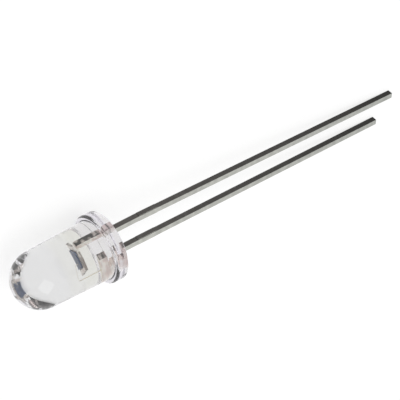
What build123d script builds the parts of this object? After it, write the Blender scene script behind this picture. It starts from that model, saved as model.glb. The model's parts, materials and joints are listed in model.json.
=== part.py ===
from build123d import *
import math
import os

# Through-hole photodiode in a clear 5 mm round package with a lens dome.
# All sizes are in millimetres. The device is first built about its optical
# axis (device frame: origin on the rear face of the flange, +Z towards the
# lens, long lead on -X, short lead on +X), then laid down on the ground the
# way it comes to rest, on the flange rim and both lead tips.

# ---- driving dimensions: clear package ----
package_height = 8.7          # rear face of the flange to the tip of the lens
barrel_dia = 5.0              # barrel where it leaves the flange
barrel_draft = 0.023          # loss of radius per mm of barrel, mould draft
flange_overhang = 0.4         # flange beyond the barrel, all round
flange_thickness = 1.0
flange_front_round = 0.25
flange_rear_round = 0.06
barrel_root_round = 0.12      # blend between the barrel and the flange

# ---- driving dimensions: lead frame ----
lead_pitch = 2.54
lead_side = 0.47              # square section outside, with its solder coat
post_side = 0.40              # bare square section inside the package
long_lead_length = 29.6       # from the rear face of the flange
short_lead_length = 28.1
lead_toe_in = 0.41            # degrees, each lead towards the other past the tie bar
lead_lean_x = 0.50            # degrees, both leads as they were left by forming
lead_lean_y = 0.59
tie_bar_start = 3.1           # cut remains of the tie bar, behind the flange
tie_bar_length = 1.8
tie_bar_proud = 0.05

# ---- driving dimensions: platform and chip ----
platform_side = 1.42          # square platform, one corner towards the post
platform_thickness = 0.25
platform_top = 3.14           # height of its upper face above the rear face
platform_turn = 45            # degrees about the optical axis
bend_round = 0.20             # outside of the bend from post to platform
die_attach_margin = 0.04      # squeezed out beyond each side of the chip
die_attach_thickness = 0.02
chip_side = 0.92
chip_thickness = 0.14

# ---- driving dimensions: bonding head and wire ----
head_inner_x = 0.52           # inner side of the short lead's bonding head
head_bottom = 0.68
head_top = 1.40
wire_dia = 0.03
wire_on_chip = 0.30           # distance of the first bond from the chip's centre
wire_rise = 0.22              # height of the loop above the chip
wire_bend = 0.16
wire_clearance = 0.156        # wire's centreline beyond the platform's corner

# ---- derived sizes ----
flange_dia = barrel_dia + 2 * flange_overhang
# the lens dome is a hemisphere as wide as the drafted barrel where it begins
drafted_radius = barrel_dia / 2 - barrel_draft * (package_height - flange_thickness)
dome_radius = drafted_radius / (1 - barrel_draft)
barrel_top = package_height - dome_radius
half_pitch = lead_pitch / 2
post_outer = half_pitch + 0.23
post_inner = post_outer - post_side
die_attach_side = chip_side + 2 * die_attach_margin
chip_bottom = platform_top + die_attach_thickness
chip_top = chip_bottom + chip_thickness
wire_foot_x = platform_side / math.sqrt(2) + wire_clearance
overlap = 0.4                 # outer lead continues this far inside the package


def block(x0, x1, y0, y1, z0, z1):
    """Box between two opposite corners."""
    size = (x1 - x0, y1 - y0, z1 - z0)
    centre = ((x0 + x1) / 2, (y0 + y1) / 2, (z0 + z1) / 2)
    return Pos(*centre) * Box(*size)


def clear_package():
    """Flange, drafted barrel and lens dome as one body of revolution."""
    flange_r = flange_dia / 2
    outline = [
        (0, 0),
        (flange_r, 0),
        (flange_r, flange_thickness),
        (barrel_dia / 2, flange_thickness),
        (dome_radius, barrel_top),
    ]
    with BuildPart() as body:
        with BuildSketch(Plane.XZ):
            with BuildLine():
                Polyline(*outline)
                CenterArc((0, barrel_top), dome_radius, 0, 90)
                Line((0, package_height), (0, 0))
            make_face()
        revolve(axis=Axis.Z)
        front = [e for e in body.edges().filter_by(GeomType.CIRCLE)
                 if abs(e.radius - flange_r) < 1e-3 and e.center().Z > flange_thickness / 2]
        fillet(front, flange_front_round)
        rear = [e for e in body.edges().filter_by(GeomType.CIRCLE)
                if abs(e.radius - flange_r) < 1e-3 and e.center().Z < flange_thickness / 2]
        fillet(rear, flange_rear_round)
        root = [e for e in body.edges().filter_by(GeomType.CIRCLE)
                if abs(e.radius - barrel_dia / 2) < 1e-3]
        fillet(root, barrel_root_round)
    return body.part


def lead_direction(side):
    """Unit direction of a lead from the flange to its tip; side is -1 long, +1 short."""
    dx = math.tan(math.radians(lead_lean_x)) - side * math.tan(math.radians(lead_toe_in))
    dy = math.tan(math.radians(lead_lean_y))
    return Vector(dx, dy, -1).normalized()


def lead_knee(side):
    """Point of a lead's centreline where it begins to lean, at the tie bar."""
    return Vector(side * half_pitch, 0, -tie_bar_start)


def outer_lead(side, length):
    """Solder-coated lead, square to the flange as far as the cut tie bar, then leaning."""
    half = lead_side / 2
    wide = half + tie_bar_proud
    centre = side * half_pitch
    root = block(centre - half, centre + half, -half, half, -tie_bar_start - 0.1, overlap)
    frame = Plane(origin=lead_knee(side), x_dir=(1, 0, 0), z_dir=-lead_direction(side))
    shaft = block(-half, half, -half, half, tie_bar_start - length, 0)
    stubs = block(-wide, wide, -half * 0.9, half * 0.9, -tie_bar_length, 0)
    return root + frame.location * (shaft + stubs)


def platform():
    """Square platform across the optical axis, one corner at the post."""
    plate = Box(platform_side, platform_side, platform_thickness)
    middle = platform_top - platform_thickness / 2
    return Pos(0, 0, middle) * Rot(0, 0, platform_turn) * plate


def long_lead():
    """Lead, post and the platform bent over the optical axis."""
    half = post_side / 2
    post = block(-post_outer, -post_inner, -half, half, 0.2, platform_top)
    neck = block(-post_outer, -0.6, -half, half,
                 platform_top - platform_thickness, platform_top)
    bent = post + neck
    corner = [e for e in bent.edges().filter_by(Axis.Y)
              if e.center().X < -post_outer + 0.01 and e.center().Z > platform_top - 0.01]
    bent = fillet(corner, bend_round)
    return outer_lead(-1, long_lead_length) + bent + platform()


def short_lead():
    """Lead, post and the widened bonding head beside the platform."""
    half = post_side / 2
    post = block(post_inner, post_outer, -half, half, 0.2, head_top)
    head = block(head_inner_x, post_outer, -half, half, head_bottom, head_top)
    return outer_lead(1, short_lead_length) + post + head


def die_attach():
    """Thin layer of silver-filled adhesive under the chip."""
    layer = Box(die_attach_side, die_attach_side, die_attach_thickness)
    middle = platform_top + die_attach_thickness / 2
    return Pos(0, 0, middle) * Rot(0, 0, platform_turn) * layer


def photodiode_chip():
    """Square silicon die facing the lens."""
    die = Box(chip_side, chip_side, chip_thickness)
    middle = chip_bottom + chip_thickness / 2
    return Pos(0, 0, middle) * Rot(0, 0, platform_turn) * die


def bond_wire():
    """Gold wire looped from the chip's face over to the bonding head."""
    start = Vector(wire_on_chip, 0, chip_top)
    end = Vector(wire_foot_x, 0, head_top)
    crest = chip_top + wire_rise
    path = FilletPolyline(
        start,
        (start.X, 0, crest),
        (end.X, 0, crest),
        end,
        radius=wire_bend,
    )
    profile = Plane(origin=path @ 0, z_dir=path % 0) * Circle(wire_dia / 2)
    loop = sweep(profile, path=path)
    ball = Pos(start.X, 0, start.Z + wire_dia / 2) * Cylinder(wire_dia * 1.3, wire_dia)
    stitch = Pos(end.X, 0, end.Z + wire_dia / 2) * Cylinder(wire_dia * 1.3, wire_dia)
    return loop + ball + stitch


def resting_up():
    """Upward direction, in the device frame, when flange rim and lead tips touch the ground."""
    half = lead_side / 2
    tips = []
    for side, length in ((-1, long_lead_length), (1, short_lead_length)):
        tips.append(lead_knee(side) + lead_direction(side) * (length - tie_bar_start))
    ux = 0.0
    uz = 0.09
    for _ in range(60):
        uy = math.sqrt(1 - ux * ux - uz * uz)
        reach = half * (abs(ux) + abs(uy))
        up = Vector(ux, uy, uz)
        low = [up.dot(tip) - reach for tip in tips]
        rim = -flange_dia / 2 * math.sqrt(1 - uz * uz)
        uz += 0.5 * ((low[0] + low[1]) / 2 - rim) / long_lead_length
        ux += 0.5 * (low[0] - low[1]) / lead_pitch
    return Vector(ux, math.sqrt(1 - ux * ux - uz * uz), uz)


def resting_place():
    """Location that lays the device down with the lens towards +X."""
    up = resting_up()
    axis = Vector(0, 0, 1)
    ahead = (axis - up * axis.dot(up)).normalized()
    left = up.cross(ahead)
    x_dir = Vector(ahead.X, left.X, up.X)
    z_dir = Vector(ahead.Z, left.Z, up.Z)
    return Plane(origin=(0, 0, 0), x_dir=x_dir, z_dir=z_dir).location


embedded = {
    "long_lead": long_lead(),
    "short_lead": short_lead(),
    "die_attach": die_attach(),
    "photodiode_chip": photodiode_chip(),
    "bond_wire": bond_wire(),
}
package = clear_package()
for inner in embedded.values():
    package = package - inner

pieces = {"epoxy_body": package}
pieces.update(embedded)

place = resting_place()
laid = {name: piece.moved(place) for name, piece in pieces.items()}
box = Compound(children=[Compound(list(piece.solids())) for piece in laid.values()]).bounding_box()
to_origin = Pos(-(box.min.X + box.max.X) / 2, -(box.min.Y + box.max.Y) / 2, -box.min.Z)

os.makedirs("parts", exist_ok=True)
for name, piece in laid.items():
    settled = piece.moved(to_origin)
    solids = settled.solids()
    shape = solids[0] if len(solids) == 1 else Compound(list(solids))
    shape.label = name
    export_step(shape, f"parts/{name}.step")
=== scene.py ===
import json
import math

import bpy
from mathutils import Matrix, Vector


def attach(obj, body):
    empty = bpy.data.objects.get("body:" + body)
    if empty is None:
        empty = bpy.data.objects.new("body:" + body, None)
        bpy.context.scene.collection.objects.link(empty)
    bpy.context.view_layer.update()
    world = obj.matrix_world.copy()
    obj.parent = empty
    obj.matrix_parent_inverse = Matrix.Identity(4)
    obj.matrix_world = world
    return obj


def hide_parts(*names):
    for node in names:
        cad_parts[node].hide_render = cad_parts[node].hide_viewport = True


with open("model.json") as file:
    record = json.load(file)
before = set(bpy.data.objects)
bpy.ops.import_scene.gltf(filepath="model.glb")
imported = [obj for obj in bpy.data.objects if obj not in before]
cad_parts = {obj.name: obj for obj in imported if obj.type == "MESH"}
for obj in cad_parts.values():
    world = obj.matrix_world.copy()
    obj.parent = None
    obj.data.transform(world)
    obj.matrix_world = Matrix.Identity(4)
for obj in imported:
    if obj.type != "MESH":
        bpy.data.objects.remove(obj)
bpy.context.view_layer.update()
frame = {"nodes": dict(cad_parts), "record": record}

MM = 0.001


def placed(x, y, z, origin):
    """Matrix with these three directions and this origin."""
    rows = [(x[i], y[i], z[i], origin[i]) for i in range(3)]
    return Matrix((*rows, (0, 0, 0, 1)))


# ------------------------------------------------------------------ device frame
# +Z along the optical axis towards the lens, +X towards the short lead, origin
# on the rear face of the flange. Everything is placed from the record's mounts.
mounts = {m["name"]: m for m in frame["record"]["mounts"]}
axis = Vector(mounts["barrel"]["axis"]).normalized()
seat = Vector(mounts["seating_face"]["pos_m"])
barrel_point = Vector(mounts["barrel"]["pos_m"])
rear_centre = barrel_point - axis * axis.dot(barrel_point - seat)
long_tip = Vector(mounts["long_lead_tip"]["pos_m"])
short_tip = Vector(mounts["short_lead_tip"]["pos_m"])
# the leads lean a little, so the frame is squared on the seating face point
# and the tips only tell which way +X points
side_y = (seat - rear_centre).normalized()
side_x = side_y.cross(axis).normalized()
if side_x.dot(short_tip - long_tip) < 0:
    side_x = -side_x
DEVICE = placed(side_x, side_y, axis, rear_centre)

# package sizes, mm, the same as the CAD solids
HEIGHT = 8.7
BARREL_R = 2.5
DRAFT = 0.023
FLANGE_R = 2.9
FLANGE_T = 1.0
FRONT_ROUND = 0.25
REAR_ROUND = 0.06
ROOT_ROUND = 0.12
DOME_R = (BARREL_R - DRAFT * (HEIGHT - FLANGE_T)) / (1 - DRAFT)
BARREL_TOP = HEIGHT - DOME_R

# heights along the optical axis where the leads' colour changes, mm
LEAD_COLOUR_SPAN = (-30.0, 3.0)
INTO_RESIN = (0.0, 0.15)
OUT_OF_FLANGE = (0.75, 0.95)

# how squarely a face must look along +X or -X to count as a sheared side, which takes the
# painted shade and painted highlight
PAINTED_SIDE_FACE = (0.55, 0.8)

# inputs and output of a Mix node that carry colours
MIX_FACTOR = 0
MIX_FIRST = 6
MIX_SECOND = 7
MIX_RESULT = 2


# ------------------------------------------------------------------ shader nodes
def new_material(name):
    material = bpy.data.materials.new(name)
    material.use_nodes = True
    tree = material.node_tree
    tree.nodes.clear()
    out = tree.nodes.new("ShaderNodeOutputMaterial")
    return material, tree, out


def principled(tree, out, **values):
    """Principled shader at the output; keywords are its inputs, with _ for a space."""
    shader = tree.nodes.new("ShaderNodeBsdfPrincipled")
    for key, value in values.items():
        shader.inputs[key.replace("_", " ")].default_value = value
    tree.links.new(shader.outputs[0], out.inputs["Surface"])
    return shader


def feed(tree, value, socket):
    """Sets a socket to a number, or links another socket into it."""
    if isinstance(value, float):
        socket.default_value = value
    else:
        tree.links.new(value, socket)


def calculate(tree, operation, first, second=0.0):
    """Output of a Math node; both values are numbers or sockets."""
    made = tree.nodes.new("ShaderNodeMath")
    made.operation = operation
    feed(tree, first, made.inputs[0])
    feed(tree, second, made.inputs[1])
    return made.outputs[0]


def map_range(tree, value, source, target=(0.0, 1.0)):
    """A socket's value carried from one range to another, held at both ends."""
    made = tree.nodes.new("ShaderNodeMapRange")
    made.inputs["From Min"].default_value = source[0]
    made.inputs["From Max"].default_value = source[1]
    made.inputs["To Min"].default_value = target[0]
    made.inputs["To Max"].default_value = target[1]
    tree.links.new(value, made.inputs["Value"])
    return made.outputs[0]


def noise(tree, place, scale, detail):
    made = tree.nodes.new("ShaderNodeTexNoise")
    made.inputs["Scale"].default_value = scale
    made.inputs["Detail"].default_value = detail
    tree.links.new(place, made.inputs["Vector"])
    return made.outputs["Fac"]


def toned(tree, factor, stops):
    """Colour that a factor picks from a ramp with two or more stops."""
    made = tree.nodes.new("ShaderNodeValToRGB")
    elements = made.color_ramp.elements
    while len(elements) < len(stops):
        elements.new(0.5)
    for element, (place, colour) in zip(elements, stops):
        element.position = place
        element.color = (*colour, 1)
    tree.links.new(factor, made.inputs["Fac"])
    return made.outputs["Color"]


def blend(tree, factor, first, second, kind="MIX"):
    """Colour output of a Mix node; the factor is a number or a socket."""
    mix = tree.nodes.new("ShaderNodeMix")
    mix.data_type = "RGBA"
    mix.blend_type = kind
    feed(tree, factor, mix.inputs[MIX_FACTOR])
    tree.links.new(first, mix.inputs[MIX_FIRST])
    tree.links.new(second, mix.inputs[MIX_SECOND])
    return mix.outputs[MIX_RESULT]


def device_coordinates(tree):
    """Object coordinates turned into the device frame, in millimetres."""
    coords = tree.nodes.new("ShaderNodeTexCoord")
    mapping = tree.nodes.new("ShaderNodeMapping")
    inverse = DEVICE.inverted()
    mapping.vector_type = "POINT"
    mapping.inputs["Location"].default_value = inverse.translation * (1 / MM)
    mapping.inputs["Rotation"].default_value = inverse.to_euler()
    mapping.inputs["Scale"].default_value = (1 / MM,) * 3
    tree.links.new(coords.outputs["Object"], mapping.inputs["Vector"])
    return mapping.outputs["Vector"]


def height_at(tree, place):
    """Height of a place above the rear face of the flange, in millimetres."""
    split = tree.nodes.new("ShaderNodeSeparateXYZ")
    tree.links.new(place, split.inputs[0])
    return split.outputs["Z"]


def face_along(tree, direction):
    """How squarely a face looks along a row-frame direction, either way, 0 to 1."""
    geometry = tree.nodes.new("ShaderNodeNewGeometry")
    dot = tree.nodes.new("ShaderNodeVectorMath")
    dot.operation = "DOT_PRODUCT"
    dot.inputs[1].default_value = direction
    tree.links.new(geometry.outputs["True Normal"], dot.inputs[0])
    return calculate(tree, "ABSOLUTE", dot.outputs["Value"])


# ------------------------------------------------------------------ materials
def epoxy_material():
    """Clear resin with painted shading by height: lavender in the flange, warm about the lead
    frame, neutral in the lens.
    """
    lavender_painted_shade = (0.78, 0.755, 0.81)
    warm_painted_shade = (0.745, 0.745, 0.705)
    neutral = (0.77, 0.77, 0.775)
    material, tree, out = new_material("clear_epoxy")
    shader = principled(tree, out, Roughness=0.0, IOR=1.53, Transmission_Weight=0.97)
    place = device_coordinates(tree)
    cloud = toned(tree, noise(tree, place, 0.35, 2.0), [
        (0.35, (0.965, 0.965, 0.965)), (0.65, (1.0, 1.0, 1.0))])
    share_of_height = map_range(tree, height_at(tree, place), (0.0, HEIGHT))
    # painted shading: the tint by height stands in for the shading seen through the resin
    resin_painted_shade = toned(tree, share_of_height, [
        (0.0, lavender_painted_shade), (0.11, lavender_painted_shade),
        (0.14, warm_painted_shade), (0.40, warm_painted_shade),
        (0.48, neutral), (1.0, neutral)])
    colour = blend(tree, 1.0, resin_painted_shade, cloud, "MULTIPLY")
    tree.links.new(colour, shader.inputs["Base Color"])
    return material


def lead_material():
    """Lead frame: bright on the rolled faces; painted shade makes the sheared sides dark, with a
    painted pale highlight inside the flange.
    """
    material, tree, out = new_material("tinned_lead")
    shader = principled(tree, out, Metallic=1.0, Roughness=0.32)
    place = device_coordinates(tree)
    height = height_at(tree, place)
    along = map_range(tree, height, LEAD_COLOUR_SPAN)
    in_resin = map_range(tree, height, INTO_RESIN)
    past_flange = map_range(tree, height, OUT_OF_FLANGE)
    pits = noise(tree, place, 2.1, 2.5)

    # solder coat, outside the package; the sheared sides are near black, a painted dark
    # reflection
    coat_rolled = toned(tree, along, [(0.0, (0.42, 0.43, 0.40)), (1.0, (0.52, 0.52, 0.48))])
    coat_side_painted_dark = toned(tree, along, [
        (0.0, (0.035, 0.034, 0.032)),
        (0.85, (0.10, 0.095, 0.09)),
        (1.0, (0.10, 0.09, 0.085))])
    # bare metal, inside the resin; the sheared sides are painted dark, with a painted pale
    # highlight on the stretch inside the flange
    bare_rolled = toned(tree, pits, [(0.40, (0.90, 0.77, 0.72)), (0.54, (1.0, 0.95, 0.90))])
    bare_side_painted_dark = toned(tree, pits, [
        (0.40, (0.02, 0.018, 0.017)),
        (0.52, (0.07, 0.062, 0.06)),
        (0.62, (0.62, 0.56, 0.53))])
    flange_side_painted_highlight = toned(tree, pits, [(0.38, (0.30, 0.25, 0.24)), (0.46, (1.0, 0.86, 0.80))])

    rolled = blend(tree, in_resin, coat_rolled, bare_rolled)
    # sheared sides: painted highlight inside the flange, painted dark past it and outside the
    # package
    inner_side_painted_light = blend(tree, past_flange, flange_side_painted_highlight, bare_side_painted_dark)
    side_painted_light = blend(tree, in_resin, coat_side_painted_dark, inner_side_painted_light)
    # faces that look along +X or -X take the painted side colours
    painted_side_mask = map_range(tree, face_along(tree, side_x), PAINTED_SIDE_FACE)
    face = blend(tree, painted_side_mask, rolled, side_painted_light)
    wear = toned(tree, noise(tree, place, 2.2, 5.0), [
        (0.3, (0.82, 0.82, 0.82)), (0.7, (1.1, 1.1, 1.1))])
    worn_with_painted_sides = blend(tree, 1.0, face, wear, "MULTIPLY")
    tree.links.new(worn_with_painted_sides, shader.inputs["Base Color"])

    # bare inner metal scatters the light that reaches it through the resin
    sheen = map_range(tree, in_resin, (0.0, 1.0), (1.0, 0.6))
    tree.links.new(sheen, shader.inputs["Metallic"])
    return material


def plain_material(name, low, high, scale, **values):
    """A material whose colour wanders between two close tones."""
    material, tree, out = new_material(name)
    shader = principled(tree, out, **values)
    place = device_coordinates(tree)
    tone = toned(tree, noise(tree, place, scale, 4.0), [(0.35, low), (0.65, high)])
    tree.links.new(tone, shader.inputs["Base Color"])
    return material


# ------------------------------------------------------------------ clear package
# points of the outline: steps of each rounding and of the long stretches, and
# rings beside the edges that keep the smooth shading of the flat faces even
REAR_STEPS = 6
FRONT_STEPS = 12
ROOT_STEPS = 8
BARREL_STEPS = 23
DOME_STEPS = 48
AROUND = 256
REAR_FACE_RINGS = (0.2, 0.4, 0.6, 0.8, 0.9)    # shares of the flange's radius
RIM_RING = 0.4                                 # height of the ring round the rim, mm
RING_GAP = 0.01                                # ring to the start of a rounding, mm
FRONT_RING_GAP = 0.005


def arc(centre_r, centre_z, radius, start, end, steps):
    """Points of a rounding, angles in degrees from the outward direction."""
    points = []
    for i in range(steps + 1):
        angle = math.radians(start + (end - start) * i / steps)
        points.append((centre_r + radius * math.cos(angle), centre_z + radius * math.sin(angle)))
    return points


def package_outline():
    """Radius and height of each ring, from the rear face's centre to the tip."""
    slope = math.degrees(math.atan(DRAFT))
    root_r = BARREL_R + ROOT_ROUND
    root_z = FLANGE_T + ROOT_ROUND
    front_r = FLANGE_R - FRONT_ROUND
    front_z = FLANGE_T - FRONT_ROUND
    rear_r = FLANGE_R - REAR_ROUND
    outline = [(0.0, 0.0)]
    outline += [(FLANGE_R * share, 0.0) for share in REAR_FACE_RINGS]
    outline += [(rear_r - RING_GAP, 0.0)]
    outline += arc(rear_r, REAR_ROUND, REAR_ROUND, -90, 0, REAR_STEPS)
    outline += [(FLANGE_R, z) for z in (REAR_ROUND + RING_GAP, RIM_RING, front_z - RING_GAP)]
    outline += arc(front_r, front_z, FRONT_ROUND, 0, 90, FRONT_STEPS)
    outline += [(front_r - FRONT_RING_GAP, FLANGE_T)]
    outline += arc(root_r, root_z, ROOT_ROUND, 270, 180 + slope, ROOT_STEPS)
    for i in range(1, BARREL_STEPS + 1):
        z = root_z + (BARREL_TOP - root_z) * i / BARREL_STEPS
        outline.append((BARREL_R - DRAFT * (z - FLANGE_T), z))
    for i in range(1, DOME_STEPS):
        angle = math.pi / 2 * i / DOME_STEPS
        outline.append((DOME_R * math.cos(angle), BARREL_TOP + DOME_R * math.sin(angle)))
    outline.append((0.0, HEIGHT))
    return outline


def revolve(name, outline, around, material):
    """Closed body of revolution about the optical axis."""
    rings = outline[1:-1]
    verts = [Vector((0, 0, outline[0][1]))]
    for r, z in rings:
        for k in range(around):
            turn = 2 * math.pi * k / around
            verts.append(Vector((r * math.cos(turn), r * math.sin(turn), z)))
    verts.append(Vector((0, 0, outline[-1][1])))
    last = len(verts) - 1
    top = last - around
    faces = []
    for k in range(around):
        nxt = (k + 1) % around
        faces.append((0, 1 + nxt, 1 + k))
        faces.append((last, top + k, top + nxt))
        for i in range(len(rings) - 1):
            a = 1 + i * around
            b = a + around
            faces.append((a + k, a + nxt, b + nxt, b + k))
    mesh = bpy.data.meshes.new(name)
    mesh.from_pydata([DEVICE @ (v * MM) for v in verts], [], faces)
    mesh.update()
    for face in mesh.polygons:
        face.use_smooth = True
    piece = bpy.data.objects.new(name, mesh)
    bpy.context.scene.collection.objects.link(piece)
    mesh.materials.append(material)
    return piece


package = revolve("epoxy_package", package_outline(), AROUND, epoxy_material())
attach(package, "root")
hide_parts("epoxy_body")


# ------------------------------------------------------------------ CAD pieces
def finish_node(name, material):
    """Gives a CAD node its material, flat shaded as it was cut."""
    piece = frame["nodes"][name]
    piece.data.materials.clear()
    piece.data.materials.append(material)
    for face in piece.data.polygons:
        face.use_smooth = False


tinned = lead_material()
finish_node("long_lead", tinned)
finish_node("short_lead", tinned)
finish_node("photodiode_chip", plain_material(
    "silicon", (0.055, 0.085, 0.17), (0.075, 0.105, 0.20), 1.5,
    Roughness=0.3, Metallic=0.0))
finish_node("die_attach", plain_material(
    "silver_adhesive", (0.30, 0.27, 0.25), (0.5, 0.47, 0.43), 4.0,
    Roughness=0.6, Metallic=0.0))
finish_node("bond_wire", plain_material(
    "gold_wire", (0.82, 0.75, 0.62), (0.96, 0.90, 0.78), 4.0,
    Roughness=0.35, Metallic=1.0))


# ------------------------------------------------------------------ studio
FLOOR_HALF = 1.5              # metres
FLOOR_DROP = 0.00001          # keeps the floor clear of the part's lowest points
FLOOR_GREY = 0.95
CAMERA_SHARE = 0.7            # plain white in what the camera sees of the floor

LAMP_SIZE = 0.3
LAMP_POWER = 0.35             # watts
LAMP_PLACE = (0.05, -0.05, 0.35)

LENS = 216.0
SENSOR = 36.0
CAMERA_PLACE = (82.401, -121.633, 124.693)    # mm
CAMERA_AHEAD = (-0.42554, 0.63794, -0.64183)
CAMERA_UP = (-0.34928, -0.77008, -0.53384)


def floor_material():
    """White paper that takes the object's shadow; metal and glass see it plain white."""
    material, tree, out = new_material("floor_paper")
    paper = tree.nodes.new("ShaderNodeBsdfDiffuse")
    paper.inputs["Color"].default_value = (FLOOR_GREY, FLOOR_GREY, FLOOR_GREY, 1)
    white = tree.nodes.new("ShaderNodeEmission")
    white.inputs["Color"].default_value = (1, 1, 1, 1)
    white.inputs["Strength"].default_value = 1.0
    rays = tree.nodes.new("ShaderNodeLightPath").outputs
    clear = calculate(tree, "MAXIMUM", rays["Is Glossy Ray"], rays["Is Transmission Ray"])
    # the rest of what the camera sees is paper, with the shadow on it
    seen = calculate(tree, "MULTIPLY", rays["Is Camera Ray"], CAMERA_SHARE)
    mix = tree.nodes.new("ShaderNodeMixShader")
    tree.links.new(calculate(tree, "MAXIMUM", clear, seen), mix.inputs[0])
    tree.links.new(paper.outputs[0], mix.inputs[1])
    tree.links.new(white.outputs[0], mix.inputs[2])
    tree.links.new(mix.outputs[0], out.inputs["Surface"])
    return material


def studio_floor():
    half = FLOOR_HALF
    corners = [(-half, -half, 0), (half, -half, 0), (half, half, 0), (-half, half, 0)]
    mesh = bpy.data.meshes.new("floor")
    mesh.from_pydata(corners, [], [(0, 1, 2, 3)])
    floor = bpy.data.objects.new("floor", mesh)
    bpy.context.scene.collection.objects.link(floor)
    floor.location.z = -FLOOR_DROP
    mesh.materials.append(floor_material())


def studio_world():
    """Even white surroundings, the same for every kind of ray."""
    world = bpy.data.worlds.new("studio")
    bpy.context.scene.world = world
    world.use_nodes = True
    tree = world.node_tree
    tree.nodes.clear()
    out = tree.nodes.new("ShaderNodeOutputWorld")
    white = tree.nodes.new("ShaderNodeBackground")
    white.inputs["Color"].default_value = (1, 1, 1, 1)
    white.inputs["Strength"].default_value = 1.0
    tree.links.new(white.outputs[0], out.inputs["Surface"])


def studio_lamp():
    """One soft lamp above, aimed at the middle of the part."""
    lamp = bpy.data.lights.new("key", "AREA")
    lamp.shape = "SQUARE"
    lamp.size = LAMP_SIZE
    lamp.energy = LAMP_POWER
    key = bpy.data.objects.new("key", lamp)
    key.location = LAMP_PLACE
    key.rotation_euler = (-key.location).to_track_quat("-Z", "Y").to_euler()
    bpy.context.scene.collection.objects.link(key)


def camera():
    """Long lens from the lens side of the device, turned about its own line of sight."""
    data = bpy.data.cameras.new("camera")
    data.lens = LENS
    data.sensor_width = SENSOR
    data.sensor_fit = "HORIZONTAL"
    data.clip_start = 0.001
    data.clip_end = 10
    eye = bpy.data.objects.new("camera", data)
    bpy.context.scene.collection.objects.link(eye)
    ahead = Vector(CAMERA_AHEAD).normalized()
    right = ahead.cross(Vector(CAMERA_UP)).normalized()
    up = right.cross(ahead)
    eye.matrix_world = placed(right, up, -ahead, Vector(CAMERA_PLACE) * MM)
    bpy.context.scene.camera = eye


studio_floor()
studio_world()
studio_lamp()
camera()
bpy.context.scene.view_settings.view_transform = "Standard"
